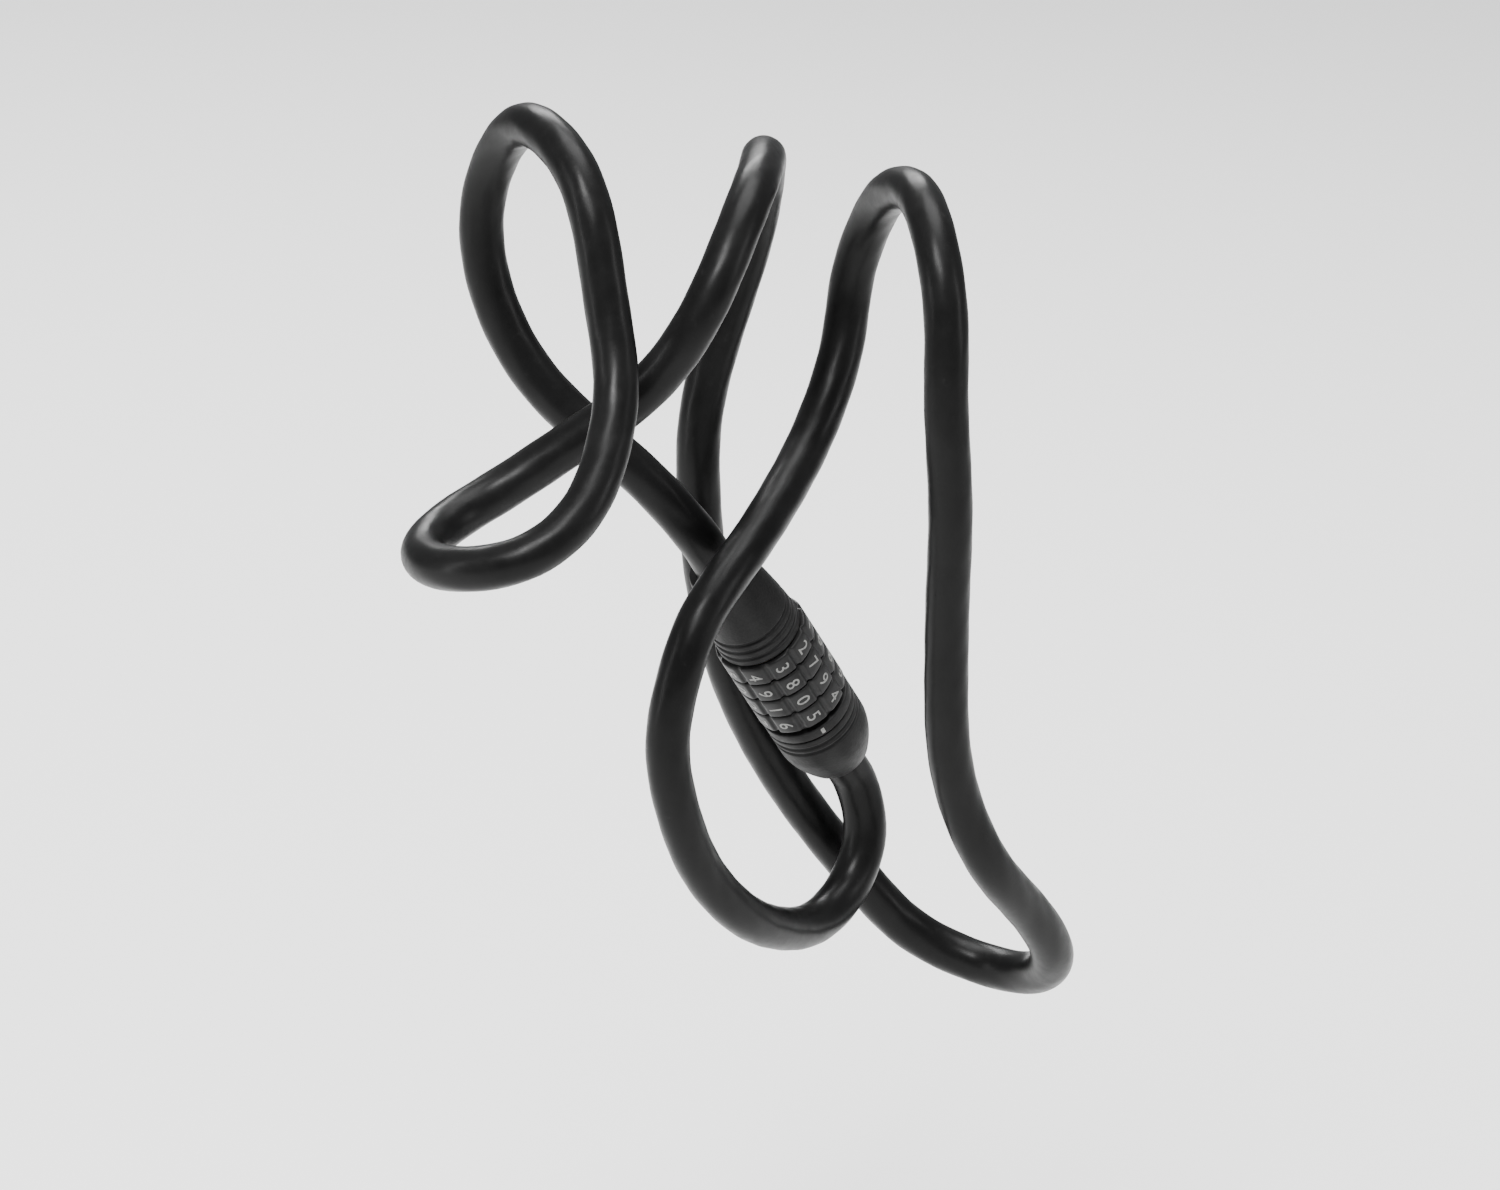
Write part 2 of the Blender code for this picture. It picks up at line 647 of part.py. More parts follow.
def build():
    clear_scene()
    parts = collection("cable_lock")
    cutters = collection("cutters")
    head = head_axis()

    sleeve = material("pvc_sleeve", (0.012, 0.012, 0.013), 0.35, 0.0)
    shell = material("shell_plastic", (0.020, 0.020, 0.022), 0.5, 0.0)
    wheel = material("dial_plastic", (0.030, 0.030, 0.033), 0.45, 0.0)
    soft = material("soft_rubber", (0.015, 0.015, 0.015), 0.7, 0.0)
    steel = material("plated_steel", (0.55, 0.56, 0.58), 0.3, 1.0)
    blackened = material("blackened_steel", (0.060, 0.060, 0.062), 0.45, 1.0)
    brass = material("brass", (0.62, 0.45, 0.20), 0.35, 1.0)
    crimp = material("crimp_aluminium", (0.70, 0.71, 0.72), 0.4, 1.0)
    rope = material("wire_rope", (0.40, 0.41, 0.42), 0.45, 1.0)

    boot_neck = ENTRY_MOUTH_END + GAP
    nut_end = PLUG_SHANK_END - INSET
    plug_neck = PLUG_MOUTH_START - GAP
    turned_pieces = [
        (entry_cap(cutters, head), shell),
        (boot("entry_boot", 0.0, boot_neck, ENTRY_BOOT_END), soft),
        (ferrule("entry_ferrule", ENTRY_NUT_START, ENTRY_SHOULDER, ENTRY_FERRULE_END), crimp),
        (ring_nut("entry_ring_nut", ENTRY_NUT_START, ENTRY_NUT_END), brass),
        (rope_end("wire_rope_entry_end", 0.0, ENTRY_FERRULE_END - INSET), rope),
        (cap_screw("entry_cap_screw", ENTRY_SCREW, ENTRY_SCREW_OUTER), blackened),
        (barrel(cutters, head), steel),
        (detent_spring(), steel),
        (thrust_washer(cutters, head), blackened),
        (front_collar(cutters, head), shell),
        (circlip(), blackened),
        (plug_body(cutters, head), steel),
        (ferrule("plug_ferrule", nut_end, PLUG_SHOULDER, PLUG_FERRULE_START), crimp),
        (ring_nut("plug_ring_nut", PLUG_NUT_START, nut_end), brass),
        (rope_end("wire_rope_plug_end", PLUG_FERRULE_START + INSET, HEAD_LENGTH), rope),
        (cap_screw("plug_cap_screw", PLUG_SCREW, PLUG_SCREW_OUTER), blackened),
        (plug_cap(cutters, head), shell),
        (boot("plug_boot", HEAD_LENGTH, plug_neck, PLUG_BOOT_START), soft),
        (seal_ring(), soft),
    ]
    cable(parts, sleeve)
    for piece, paint in turned_pieces:
        place(add_material(piece, paint), parts, head)
    for index in range(DIAL_COUNT):
        station = station_of_dial(index)
        place(add_material(dial(index), wheel), parts, head, station)
        place(add_material(gate_ring(index, cutters, head), brass), parts, head, station)


build()
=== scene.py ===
"""Looks of the combination cable lock: a fine cable, turned caps, numbered dials and
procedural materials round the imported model. Metres, in the model's own frame."""

import json
import math

import bpy
import bmesh
import numpy as np
from mathutils import Matrix, Quaternion, Vector


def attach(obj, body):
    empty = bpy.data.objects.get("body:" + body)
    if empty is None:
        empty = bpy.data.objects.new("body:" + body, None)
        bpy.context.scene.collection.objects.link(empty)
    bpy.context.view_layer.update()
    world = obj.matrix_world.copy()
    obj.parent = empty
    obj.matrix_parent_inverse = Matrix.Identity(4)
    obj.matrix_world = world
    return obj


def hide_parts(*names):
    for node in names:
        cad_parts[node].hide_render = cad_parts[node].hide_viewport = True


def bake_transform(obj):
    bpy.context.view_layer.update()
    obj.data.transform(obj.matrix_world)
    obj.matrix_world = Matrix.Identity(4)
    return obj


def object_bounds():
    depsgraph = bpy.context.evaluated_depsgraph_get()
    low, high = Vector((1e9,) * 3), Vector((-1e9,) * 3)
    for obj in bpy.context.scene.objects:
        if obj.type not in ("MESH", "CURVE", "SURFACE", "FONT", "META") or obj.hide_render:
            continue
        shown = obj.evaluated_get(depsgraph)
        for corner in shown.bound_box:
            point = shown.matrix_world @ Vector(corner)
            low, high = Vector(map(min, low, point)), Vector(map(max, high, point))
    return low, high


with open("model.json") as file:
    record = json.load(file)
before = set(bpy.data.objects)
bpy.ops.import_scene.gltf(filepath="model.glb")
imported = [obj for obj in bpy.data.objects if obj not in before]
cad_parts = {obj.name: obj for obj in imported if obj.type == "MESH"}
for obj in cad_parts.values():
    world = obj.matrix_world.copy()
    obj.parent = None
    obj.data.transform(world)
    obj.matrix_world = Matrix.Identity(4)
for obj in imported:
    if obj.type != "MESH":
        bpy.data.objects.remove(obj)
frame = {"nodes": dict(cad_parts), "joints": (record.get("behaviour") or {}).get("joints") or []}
CAD_BOX = [list(corner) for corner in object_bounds()]

MM = 0.001
GAP = 0.3


def joint(name):
    return next(found for found in frame["joints"] if found["name"] == name)


# Stations along the head's axis, mm from the entry face.
HEAD_LENGTH = 56.0
MOUTH_END = 5.0
CAP_LENGTH = 19.0
CAP_STEP = 16.2
ENTRY_SCREW = 12.0
DIAL_START = CAP_LENGTH + GAP
DIAL_PITCH = 4.8
DIAL_WIDTH = DIAL_PITCH - GAP
DIAL_COUNT = 4
DIGITS = 10
COLLAR_START = DIAL_START + DIAL_PITCH * DIAL_COUNT + 0.9
COLLAR_END = COLLAR_START + 2.2
CIRCLIP_STEP = COLLAR_START + 1.0
PLUG_CAP_START = COLLAR_END + GAP
SPIGOT_START = 17.8
PLUG_FLANGE_START = COLLAR_END + 1.1
PLUG_FLANGE_END = PLUG_FLANGE_START + 1.5
PLUG_CUP_START = PLUG_FLANGE_START + 0.8
PLUG_SHANK_END = PLUG_FLANGE_END + 6.8
PLUG_TAPER_START = 48.0
PLUG_MOUTH_START = 52.9
PLUG_SCREW = 49.2

# Radii in the head, mm.
CAP_TIP_RADIUS = 5.6
CAP_RADIUS = 8.1
CAP_ROUNDNESS = 1.5
DIAL_RADIUS = 8.8
DIAL_BORE = 7.65
DIAL_SHOULDER = 7.9
COLLAR_RADIUS = 8.6
PLUG_CAP_RADIUS = 8.6
PLUG_TAIL_RADIUS = 5.8
PLUG_ROUNDNESS = 1.7
SEAL_GROOVE_INNER = 6.9
SEAL_GROOVE_OUTER = 8.0
SEAL_GROOVE_DEPTH = 0.9
MOUTH_RADIUS = 3.7
COUNTERBORE_RADIUS = 6.4
CAP_COUNTERBORE = 6.8
RUNNING_BORE = 4.8
SHANK_RADIUS = 4.5
SPIGOT_RADIUS = 2.7
FLANGE_RADIUS = 6.0
CUP_RADIUS = 3.3
TOOTH_REACH = 5.55
TOOTH_WIDTH = 1.8
SCREW_RADIUS = 0.9
SCREW_INNER = 4.2
ENTRY_SCREW_OUTER = 7.3
PLUG_SCREW_OUTER = 8.1
SCREW_HOLE_OUTER = 12.0
SOCKET_RADIUS = 0.5
SOCKET_DEPTH = 0.9
SOCKET_SIDES = 6
OVERSHOOT = 1.0

# The caps' tapers and grip grooves: stations of the grooves' middles, and sizes, mm.
ENTRY_TAPER_END = 12.6
ENTRY_TAPER_STEPS = 12
PLUG_TAPER_STEPS = 14
ENTRY_GROOVES = (13.6, 15.4, 17.2)
PLUG_GROOVES = (43.6, 45.0)
GRIP_HALF_WIDTH = 0.45
GRIP_FLOOR_HALF = 0.25
GRIP_DEPTH = 0.35

# Rounding of turned corners, mm. A turn below the smooth angle, degrees, is left as it is,
# and a rounding takes at most its share of each side. Points closer than the merge
# distance, metres, become one.
CAP_ROUNDING = 0.4
COLLAR_ROUNDING = 0.3
PLUG_CAP_ROUNDING = 0.3
SPIGOT_ROUNDING = 0.25
SMOOTH_ANGLE = 14.0
CORNER_SHARE = 0.42
MERGE_DISTANCE = 0.0000005

# Steps round a turned piece, the spigot, a dial and a round tool.
TURNED_STEPS = 96
SPIGOT_STEPS = 72
DIAL_STEPS = 240
ROD_STEPS = 40

# A dial's rim and the finger grooves between its digits, mm and degrees.
RIM_CORNER = 0.5
RIM_STEPS = 4
RIM_SHARES = (0.3, 0.5, 0.7)
FINGER_GROOVE_DEPTH = 0.5
FINGER_GROOVE_HALF = 6.0

# The spigot's chamfer and the teeth on it, mm.
SPIGOT_CHAMFER = 0.8
SPIGOT_CHAMFER_LENGTH = 0.9
TOOTH_ROOT = 1.55
TOOTH_OFFSET = 0.6
TOOTH_BEVEL = 0.2

# The index line on the collar, mm.
INDEX_HALF_THICKNESS = 0.06
INDEX_HALF_WIDTH = 0.35
INDEX_MARGIN = 0.5
INDEX_BEVEL = 0.04

# The leaf spring that clicks the dials, mm. Its bumps end just inside the gate rings'
# bore, as they do while a dial turns.
SPRING_START = DIAL_START + 0.6
SPRING_END = DIAL_START + DIAL_PITCH * DIAL_COUNT - 2 * GAP
SPRING_OUTER = 4.05
SPRING_THICKNESS = 0.3
SPRING_HALF_WIDTH = 0.9
SPRING_BUMP_TOP = 4.72
SPRING_BUMP_REACH = 1.0
SPRING_BUMP_OFFSET = 3.75
SPRING_STEPS = 108

# The head's own frame: Z along its axis from the entry face, X to the index side.
AXIS = Vector(joint("plug_pull")["axis"]).normalized()
FIRST_DIAL = Vector(joint("dial_1_turn")["pos_m"])
ENTRY = FIRST_DIAL - AXIS * (DIAL_START + DIAL_WIDTH / 2) * MM
LEAVE = ENTRY + AXIS * HEAD_LENGTH * MM
INDEX_SIDE = Vector((-0.01, -0.955, -0.296))
INDEX_X = (INDEX_SIDE - AXIS * INDEX_SIDE.dot(AXIS)).normalized()
INDEX_Y = AXIS.cross(INDEX_X)
HEAD_TURN = Matrix((INDEX_X, INDEX_Y, AXIS)).transposed().to_4x4()
HEAD = Matrix.Translation(ENTRY) @ HEAD_TURN

# The cable, mm: its sizes, its straight leads out of the head, and the lay of the strands
# that show through its sleeve.
CABLE_DIAMETER = 8.0
CABLE_LEADS = (GAP, 4.0, 7.0)
CABLE_SIDES = 36
CABLE_RING = 1.7
STRANDS = 6
STRAND_LAY = 52.0
STRAND_RELIEF = 0.03

# The route of the cable's centreline from the head's entry to the plug, metres: up
# behind the tube and over it, a small loop on the left, over again, down behind the head
# and round, up in front and over a third time, and through a lower loop to the plug.
ROUTE = [
    (-0.008, 0.005, -0.038), (-0.018, 0.010, -0.029), (-0.027, 0.016, -0.020),
    (-0.034, 0.021, -0.007), (-0.037, 0.023, 0.007), (-0.037, 0.020, 0.019),
    (-0.037, 0.010, 0.029), (-0.037, -0.002, 0.031), (-0.036, -0.013, 0.027),
    (-0.035, -0.020, 0.018), (-0.034, -0.024, 0.007), (-0.034, -0.030, -0.005),
    (-0.038, -0.037, -0.015), (-0.045, -0.043, -0.024), (-0.055, -0.044, -0.031),
    (-0.064, -0.037, -0.035), (-0.065, -0.023, -0.037), (-0.056, -0.013, -0.035),
    (-0.045, -0.011, -0.030), (-0.033, -0.014, -0.021), (-0.023, -0.019, -0.011),
    (-0.016, -0.023, 0.002), (-0.010, -0.021, 0.013), (-0.003, -0.014, 0.021),
    (0.003, -0.005, 0.023), (0.009, 0.006, 0.022), (0.014, 0.016, 0.015),
    (0.016, 0.022, 0.004), (0.014, 0.024, -0.009), (0.009, 0.023, -0.029),
    (0.009, 0.022, -0.045), (0.013, 0.024, -0.063), (0.020, 0.027, -0.081),
    (0.029, 0.029, -0.097), (0.040, 0.030, -0.112), (0.051, 0.029, -0.125),
    (0.062, 0.027, -0.136), (0.073, 0.020, -0.141), (0.078, 0.008, -0.139),
    (0.075, -0.004, -0.130), (0.065, -0.011, -0.118), (0.054, -0.017, -0.107),
    (0.046, -0.019, -0.094), (0.041, -0.021, -0.080), (0.039, -0.022, -0.066),
    (0.037, -0.024, -0.051), (0.035, -0.026, -0.034), (0.033, -0.025, -0.015),
    (0.033, -0.023, -0.003), (0.033, -0.019, 0.007), (0.034, -0.011, 0.014),
    (0.036, 0.000, 0.016), (0.037, 0.010, 0.013), (0.038, 0.019, 0.005),
    (0.037, 0.023, -0.007), (0.035, 0.021, -0.019), (0.028, 0.015, -0.032),
    (0.019, 0.007, -0.040), (0.009, -0.002, -0.046), (0.001, -0.008, -0.051),
    (-0.006, -0.012, -0.058), (-0.010, -0.014, -0.068), (-0.011, -0.014, -0.080),
    (-0.007, -0.013, -0.094), (0.000, -0.010, -0.106), (0.010, -0.006, -0.116),
    (0.022, 0.002, -0.123), (0.034, 0.011, -0.126), (0.043, 0.017, -0.122),
    (0.047, 0.020, -0.112),
]

# The camera's place and turn, which set the view of the photograph.
CAMERA_AZIMUTH = -26.5
CAMERA_ELEVATION = 18.4
CAMERA_DISTANCE = 1.85
CAMERA_ROLL = 4.4
CAMERA_LENS = 250.0
CAMERA_REACH = 50.0

# The floor, metres: its drop under the lock and how far it spreads each way.
FLOOR_DROP = 0.09
FLOOR_SPREAD = 8.0
FLOOR_ROUGHNESS = 0.7

# The digit of each dial on the index line, the digits' sizes, and the cuts across a digit
# that let it bend round its dial, mm.
CODE = (3, 8, 0, 5)
DIGIT_SIZE = 3.7
DIGIT_PROUD = 0.05
DIGIT_OUTLINE_STEPS = 4
DIGIT_MERGE = 0.0005
DIGIT_SLICES = range(-4, 5)
DIGIT_SLICE_WIDTH = 0.4

# The studio: lights as name, place and size in metres, and power in watts.
LIGHT_AIM = (0.0, 0.0, -0.06)
LIGHTS = [
    ("key_light", (-0.45, -0.45, 0.75), (0.28, 0.28), 16.0),
    ("top_light", (0.15, 0.15, 1.30), (1.0, 1.0), 36.0),
    ("fill_light", (0.95, -0.75, 0.30), (0.12, 0.6), 3.5),
    ("back_light", (0.25, 0.85, 0.55), (0.5, 0.2), 9.0),
    ("side_light", (-0.90, 0.10, 0.10), (0.1, 0.7), 3.0),
]
WORLD_COLOUR = (0.93, 0.94, 0.96, 1.0)
WORLD_STRENGTH = 0.35
FLOOR_COLOUR = (0.93, 0.93, 0.925, 1.0)

# The part of a noise's values that most of it falls in.
NOISE_LOW = 0.3
NOISE_HIGH = 0.7

# Turned metals: name, darker and paler colour, range of roughness, strength of the rings.
TURNED_STEEL = ("turned_steel", (0.52, 0.53, 0.55), (0.66, 0.67, 0.69), (0.18, 0.34), 0.3)
TURNED_BRASS = ("turned_brass", (0.55, 0.38, 0.15), (0.70, 0.52, 0.24), (0.22, 0.40), 0.3)
BLACKENED_STEEL = ("blackened_steel", (0.05, 0.05, 0.05), (0.09, 0.09, 0.09), (0.30, 0.50), 0.2)
CRIMP_METAL = ("crimp_metal", (0.60, 0.61, 0.62), (0.76, 0.77, 0.78), (0.30, 0.48), 0.2)


# Camera, lights and floor


def linked(obj):
    bpy.context.scene.collection.objects.link(obj)
    return obj


def camera():
    low, high = (Vector(corner) for corner in CAD_BOX)
    azimuth = math.radians(CAMERA_AZIMUTH)
    elevation = math.radians(CAMERA_ELEVATION)
    back = Vector((
        math.sin(azimuth) * math.cos(elevation),
        -math.cos(azimuth) * math.cos(elevation),
        math.sin(elevation),
    ))
    data = bpy.data.cameras.new("camera")
    data.lens = CAMERA_LENS
    data.clip_end = CAMERA_REACH
    obj = linked(bpy.data.objects.new("camera", data))
    obj.location = (low + high) / 2 + back * CAMERA_DISTANCE
    roll = Quaternion((0.0, 0.0, 1.0), math.radians(CAMERA_ROLL))
    obj.rotation_mode = "QUATERNION"
    obj.rotation_quaternion = back.to_track_quat("Z", "Y") @ roll
    bpy.context.scene.camera = obj


def area_light(name, place, size, power):
    """A soft light turned to the middle of the lock."""
    data = bpy.data.lights.new(name, "AREA")
    data.shape = "RECTANGLE"
    data.size, data.size_y = size
    data.energy = power
    obj = linked(bpy.data.objects.new(name, data))
    obj.location = place
    direction = Vector(place) - Vector(LIGHT_AIM)
    obj.rotation_mode = "QUATERNION"
    obj.rotation_quaternion = direction.to_track_quat("Z", "Y")


def studio():
    for light in LIGHTS:
        area_light(*light)
    world = bpy.data.worlds.new("studio")
    world.use_nodes = True
    back = world.node_tree.nodes["Background"]
    back.inputs["Color"].default_value = WORLD_COLOUR
    back.inputs["Strength"].default_value = WORLD_STRENGTH
    bpy.context.scene.world = world


def floor():
    data = bpy.data.meshes.new("floor")
    body = bmesh.new()
    bmesh.ops.create_grid(body, x_segments=1, y_segments=1, size=FLOOR_SPREAD)
    body.to_mesh(data)
    body.free()
    obj = linked(bpy.data.objects.new("floor", data))
    obj.location = (0.0, 0.0, CAD_BOX[0][2] - FLOOR_DROP)
    paint = bpy.data.materials.new("floor_paint")
    paint.use_nodes = True
    shader = paint.node_tree.nodes["Principled BSDF"]
    shader.inputs["Base Color"].default_value = FLOOR_COLOUR
    shader.inputs["Roughness"].default_value = FLOOR_ROUGHNESS
    obj.data.materials.append(paint)


# Materials


class Paint:
    """A material with its nodes, built up a step at a time."""

    def __init__(self, name):
        self.material = bpy.data.materials.new(name)
        self.material.use_nodes = True
        self.tree = self.material.node_tree
        self.shader = self.tree.nodes["Principled BSDF"]
        self.place = self.add("ShaderNodeTexCoord").outputs["Object"]

    def add(self, kind, **settings):
        node = self.tree.nodes.new(kind)
        for key, value in settings.items():
            setattr(node, key, value)
        return node

    def link(self, source, target):
        self.tree.links.new(source, target)

    def constant(self, socket, value):
        self.shader.inputs[socket].default_value = value

    def noise(self, scale, detail=4.0, rough=0.55, place=None):
        node = self.add("ShaderNodeTexNoise")
        node.inputs["Scale"].default_value = scale
        node.inputs["Detail"].default_value = detail
        node.inputs["Roughness"].default_value = rough
        self.link(place or self.place, node.inputs["Vector"])
        return node.outputs["Fac"]

    def cells(self, scale):
        node = self.add("ShaderNodeTexVoronoi")
        node.inputs["Scale"].default_value = scale
        self.link(self.place, node.inputs["Vector"])
        return node.outputs["Distance"]

    def ramp(self, source, low, high, start=NOISE_LOW, end=NOISE_HIGH):
        """A colour from low to high while the source goes from start to end."""
        node = self.add("ShaderNodeValToRGB")
        node.color_ramp.elements[0].position = start
        node.color_ramp.elements[1].position = end
        node.color_ramp.elements[0].color = (*low, 1.0)
        node.color_ramp.elements[1].color = (*high, 1.0)
        self.link(source, node.inputs["Fac"])
        return node.outputs["Color"]

    def greys(self, source, low, high, start=NOISE_LOW, end=NOISE_HIGH):
        return self.ramp(source, (low, low, low), (high, high, high), start, end)

    def spread(self, source, low, high):
        """A value from low to high while the source goes through a noise's main range."""
        node = self.add("ShaderNodeMapRange")
        node.inputs["From Min"].default_value = NOISE_LOW
        node.inputs["From Max"].default_value = NOISE_HIGH
        node.inputs["To Min"].default_value = low
        node.inputs["To Max"].default_value = high
        self.link(source, node.inputs["Value"])
        return node.outputs["Result"]

    def mix(self, share, first, second):
        node = self.add("ShaderNodeMix", data_type="RGBA")
        self.link(share, node.inputs["Factor"])
        self.link(first, node.inputs["A"])
        self.link(second, node.inputs["B"])
        return node.outputs["Result"]

    def bump(self, source, strength, distance, below=None):
        """Relief from a source, its distance in metres, on top of another where one is given."""
        node = self.add("ShaderNodeBump")
        node.inputs["Strength"].default_value = strength
        node.inputs["Distance"].default_value = distance
        self.link(source, node.inputs["Height"])
        if below is not None:
            self.link(below, node.inputs["Normal"])
        return node.outputs["Normal"]

    def finish(self, colour, roughness, normal):
        self.link(colour, self.shader.inputs["Base Color"])
        self.link(roughness, self.shader.inputs["Roughness"])
        self.link(normal, self.shader.inputs["Normal"])
        return self.material

    def along_axis(self):
        """The distance along the head's axis, as a vector for rings round it."""
        dot = self.add("ShaderNodeVectorMath", operation="DOT_PRODUCT")
        dot.inputs[1].default_value = AXIS
        self.link(self.place, dot.inputs[0])
        joined = self.add("ShaderNodeCombineXYZ")
        self.link(dot.outputs["Value"], joined.inputs["X"])
        return joined.outputs["Vector"]


def sleeve_paint():
    """Extruded black PVC: cloudy black, fine grain, and dull rubbed spots."""
    paint = Paint("cable_pvc")
    cloud = paint.noise(scale=60.0, detail=5.0)
    grain = paint.noise(scale=2600.0, detail=3.0)
    scuff = paint.noise(scale=420.0, detail=8.0, rough=0.75)
    colour = paint.greys(cloud, low=0.0035, high=0.008)
    dust = paint.greys(scuff, low=0.0, high=0.35, start=0.60, end=0.76)
    colour = paint.mix(dust, colour, paint.greys(cloud, low=0.018, high=0.026))
    roughness = paint.spread(scuff, low=0.27, high=0.42)
    normal = paint.bump(grain, strength=0.22, distance=0.00004)
    normal = paint.bump(scuff, strength=0.18, distance=0.00006, below=normal)
    paint.constant("Specular IOR Level", 0.10)
    return paint.finish(colour, roughness, normal)


def shell_paint():
    """Moulded black plastic with a fine spark-eroded grain."""
    paint = Paint("shell_moulding")
    cloud = paint.noise(scale=90.0, detail=4.0)
    spark = paint.cells(scale=2300.0)
    grain = paint.noise(scale=5200.0, detail=3.0)
    colour = paint.greys(cloud, low=0.006, high=0.012)
    rub = paint.noise(scale=500.0, detail=6.0, rough=0.7)
    roughness = paint.spread(rub, low=0.40, high=0.58)
    normal = paint.bump(spark, strength=0.35, distance=0.00006)
    normal = paint.bump(grain, strength=0.25, distance=0.00003, below=normal)
    paint.constant("Specular IOR Level", 0.13)
    return paint.finish(colour, roughness, normal)


def dial_paint():
    """Smoother plastic, rubbed paler in spots by fingers."""
    paint = Paint("dial_moulding")
    cloud = paint.noise(scale=150.0, detail=4.0)
    scuff = paint.noise(scale=900.0, detail=8.0, rough=0.75)
    colour = paint.greys(cloud, low=0.008, high=0.014)
    worn = paint.greys(scuff, low=0.0, high=0.4, start=0.58, end=0.75)
    colour = paint.mix(worn, colour, paint.greys(cloud, low=0.030, high=0.040))
    roughness = paint.spread(scuff, low=0.30, high=0.48)
    normal = paint.bump(scuff, strength=0.22, distance=0.00004)
    paint.constant("Specular IOR Level", 0.16)
    return paint.finish(colour, roughness, normal)


def digit_paint():
    """Grey printing ink, worn thin in places."""
    paint = Paint("digit_ink")
    full = (0.22, 0.22, 0.21)
    thin = (0.10, 0.10, 0.10)
    wear = paint.noise(scale=1500.0, detail=8.0, rough=0.7)
    colour = paint.ramp(wear, low=full, high=thin, start=0.45, end=0.72)
    roughness = paint.spread(wear, low=0.45, high=0.65)
    normal = paint.bump(wear, strength=0.2, distance=0.00003)
    return paint.finish(colour, roughness, normal)


def rubber_paint():
    """Soft black rubber, dull and finely grained."""
    paint = Paint("soft_rubber_moulding")
    cloud = paint.noise(scale=200.0, detail=5.0)
    grain = paint.noise(scale=3800.0, detail=4.0)
    colour = paint.greys(cloud, low=0.006, high=0.013)
    roughness = paint.spread(grain, low=0.62, high=0.82)
    normal = paint.bump(grain, strength=0.35, distance=0.00005)
    return paint.finish(colour, roughness, normal)


def metal_paint(name, dark, light, rough, ring_strength):
    """Turned metal: fine rings round the head's axis, with a few marks."""
    paint = Paint(name)
    rings = paint.noise(scale=9000.0, detail=3.0, rough=0.6, place=paint.along_axis())
    marks = paint.noise(scale=700.0, detail=8.0, rough=0.7)
    colour = paint.ramp(marks, dark, light, start=0.35, end=0.65)
    roughness = paint.spread(rings, rough[0], rough[1])
    normal = paint.bump(rings, ring_strength, distance=0.00003)
    normal = paint.bump(marks, strength=0.1, distance=0.00003, below=normal)
    paint.constant("Metallic", 1.0)
    return paint.finish(colour, roughness, normal)


def rope_paint():
    """Twisted steel wire: slanting strands."""
    paint = Paint("wire_rope_strands")
    waves = paint.add("ShaderNodeTexWave", wave_type="BANDS", bands_direction="DIAGONAL")
    waves.inputs["Scale"].default_value = 420.0
    waves.inputs["Distortion"].default_value = 0.6
    paint.link(paint.place, waves.inputs["Vector"])
    marks = paint.noise(scale=1800.0, detail=6.0)
    colour = paint.greys(marks, low=0.30, high=0.50)
    roughness = paint.spread(marks, low=0.32, high=0.50)
    normal = paint.bump(waves.outputs["Fac"], strength=0.6, distance=0.0002)
    paint.constant("Metallic", 1.0)
    return paint.finish(colour, roughness, normal)


# Mesh helpers


def up(station):
    """A place on the head's axis, mm."""
    return Vector((0.0, 0.0, station))


def finished(body, matrix=None):
    """A bmesh as a mesh, closed up, facing out and moved from the head's frame."""
    bmesh.ops.remove_doubles(body, verts=body.verts, dist=MERGE_DISTANCE)
    bmesh.ops.recalc_face_normals(body, faces=body.faces)
    mesh = bpy.data.meshes.new("mesh")
    body.to_mesh(mesh)
    body.free()
    mesh.transform(matrix or HEAD)
    return mesh


def piece(name, mesh, paint, body, replaced=None, sharp=35.0):
    """A new visible piece: its mesh, material, smooth faces, body and CAD node."""
    mesh.name = name
    for face in mesh.polygons:
        face.use_smooth = True
    mesh.set_sharp_from_angle(angle=math.radians(sharp))
    mesh.materials.clear()
    mesh.materials.append(paint)
    obj = linked(bpy.data.objects.new(name, mesh))
    if body is not None:
        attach(obj, body)
    if replaced is not None:
        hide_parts(replaced)
    return obj


def rounded(profile, radius, steps=3):
    """The closed profile with its corners rounded by short curves."""
    points = [Vector(point) for point in profile]
    made = []
    for i, corner in enumerate(points):
        run_in = points[i - 1] - corner
        run_out = points[(i + 1) % len(points)] - corner
        if math.pi - run_in.angle(run_out) < math.radians(SMOOTH_ANGLE):
            made.append(corner)
            continue
        reach = min(radius, CORNER_SHARE * run_in.length, CORNER_SHARE * run_out.length)
        start = corner + run_in.normalized() * reach
        end = corner + run_out.normalized() * reach
        for step in range(steps + 1):
            share = step / steps
            blend = start * (1 - share) ** 2 + corner * 2 * share * (1 - share)
            made.append(blend + end * share ** 2)
    return made


def joined_rings(body, rings, around=True):
    """Faces between neighbouring rings of vertices; around joins the last to the first."""
    for i in range(len(rings) if around else len(rings) - 1):
        here = rings[i]
        there = rings[(i + 1) % len(rings)]
        for k in range(len(here)):
            j = (k + 1) % len(here)
            body.faces.new((here[k], here[j], there[j], there[k]))


def lathe(profile, segments=TURNED_STEPS):
    """A closed profile of (radius, station) in mm, turned round the head's axis."""
    body = bmesh.new()
    rings = []
    for segment in range(segments):
        angle = 2 * math.pi * segment / segments
        across = Vector((math.cos(angle), math.sin(angle), 0.0))
        rings.append([
            body.verts.new((across * radius + up(station)) * MM)
            for radius, station in profile
        ])
    joined_rings(body, rings)
    return finished(body)


